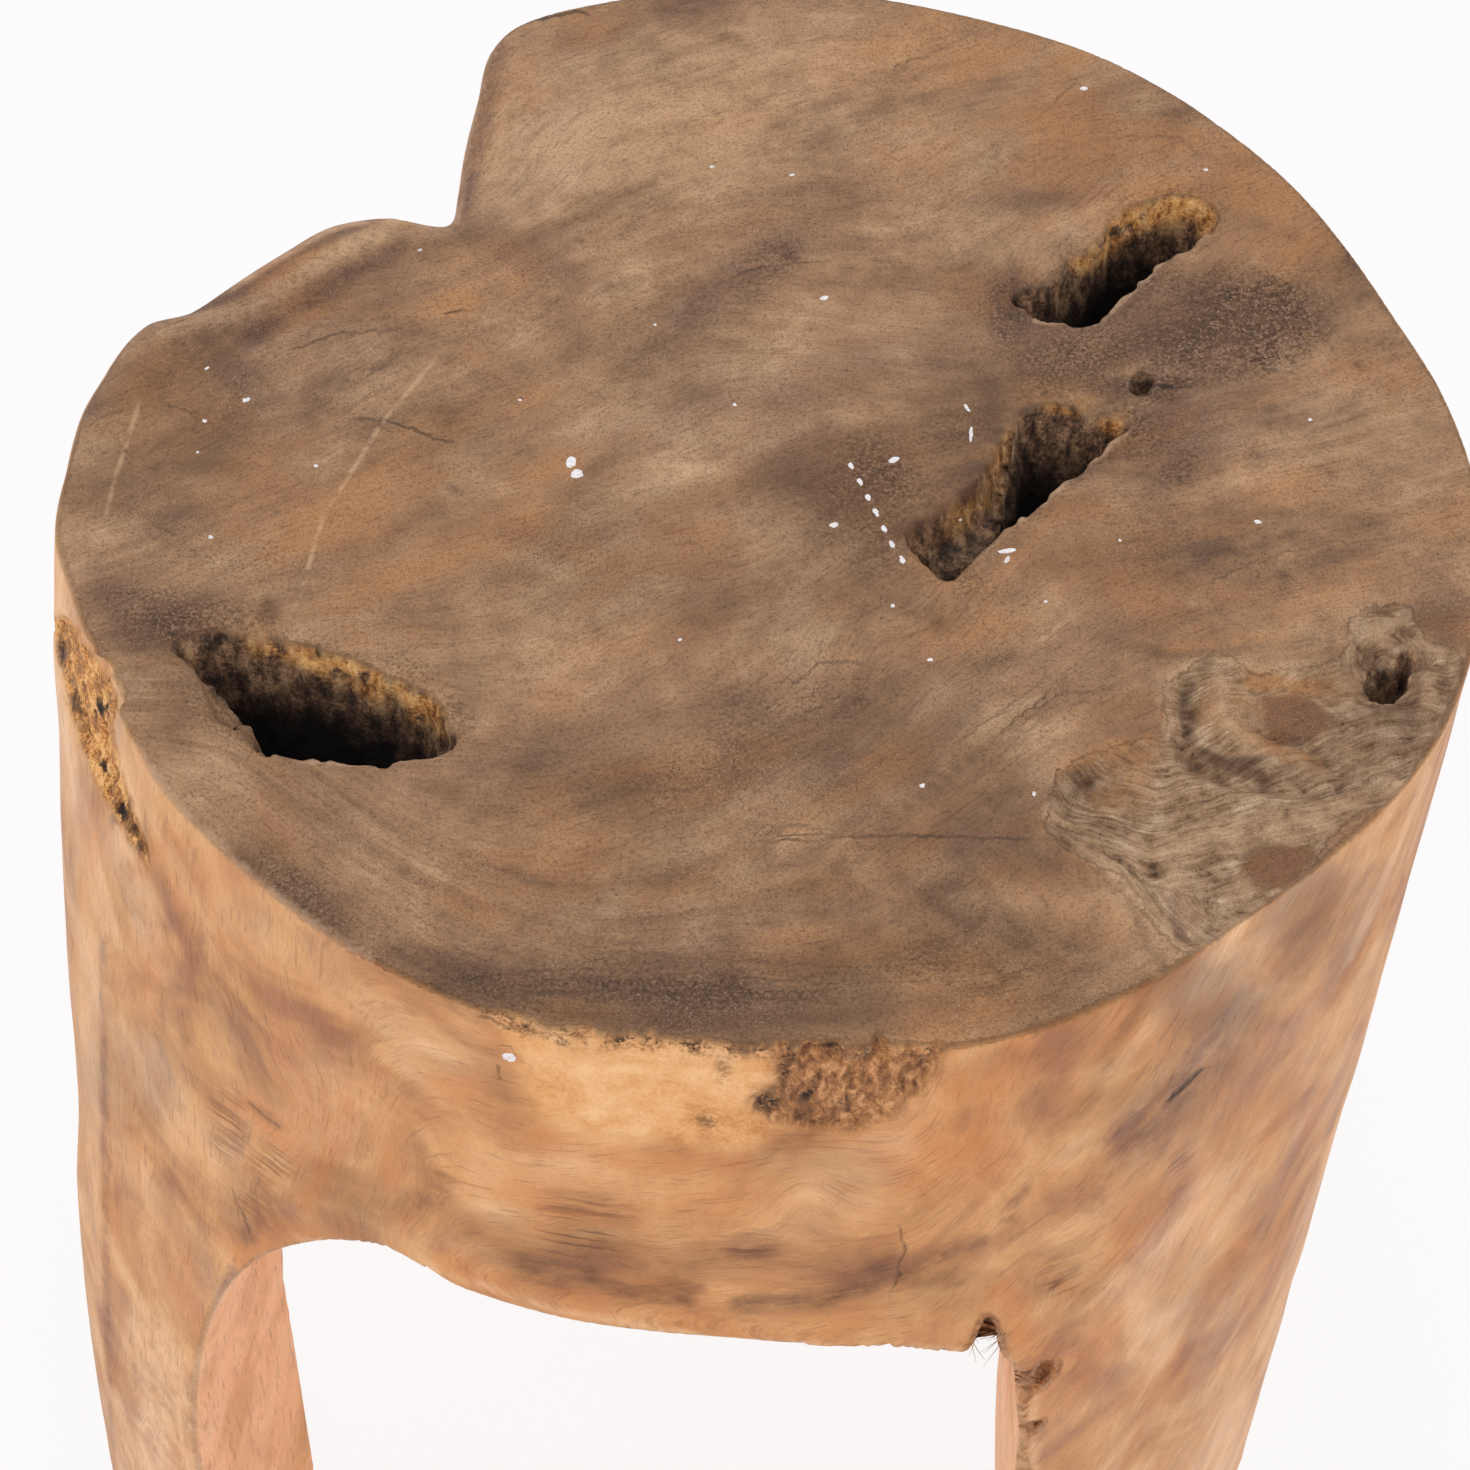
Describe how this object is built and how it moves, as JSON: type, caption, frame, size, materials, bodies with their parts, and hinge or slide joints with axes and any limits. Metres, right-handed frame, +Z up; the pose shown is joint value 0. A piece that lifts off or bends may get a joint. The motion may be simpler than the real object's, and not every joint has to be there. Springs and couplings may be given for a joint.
{
  "type": "log stool",
  "caption": "Stool carved from one log: sawn seat with natural hollows and a notched edge, three legs left below by arched slots, floor glides nailed under the legs.",
  "frame": {"origin": "on the floor under the middle of the whole stool's box", "axes": "+Z up through the seat, -Y towards the front arch, +X to the right seen from the front"},
  "size_m": [0.426, 0.4126, 0.45],
  "materials": {
    "oiled_hardwood": "sanded and waxed, satin, end grain darker than the sides",
    "nail_steel": "bright drawn wire",
    "glide_nylon": "moulded, satin",
    "glide_felt": "pressed felt"
  },
  "bodies": {
    "root": {"carved_log": "oiled_hardwood", "glide_nail_front_left": "nail_steel", "glide_cup_front_left": "glide_nylon", "glide_felt_front_left": "glide_felt", "glide_nail_front_right": "nail_steel", "glide_cup_front_right": "glide_nylon", "glide_felt_front_right": "glide_felt", "glide_nail_rear": "nail_steel", "glide_cup_rear": "glide_nylon", "glide_felt_rear": "glide_felt"}
  },
  "joints": []
}
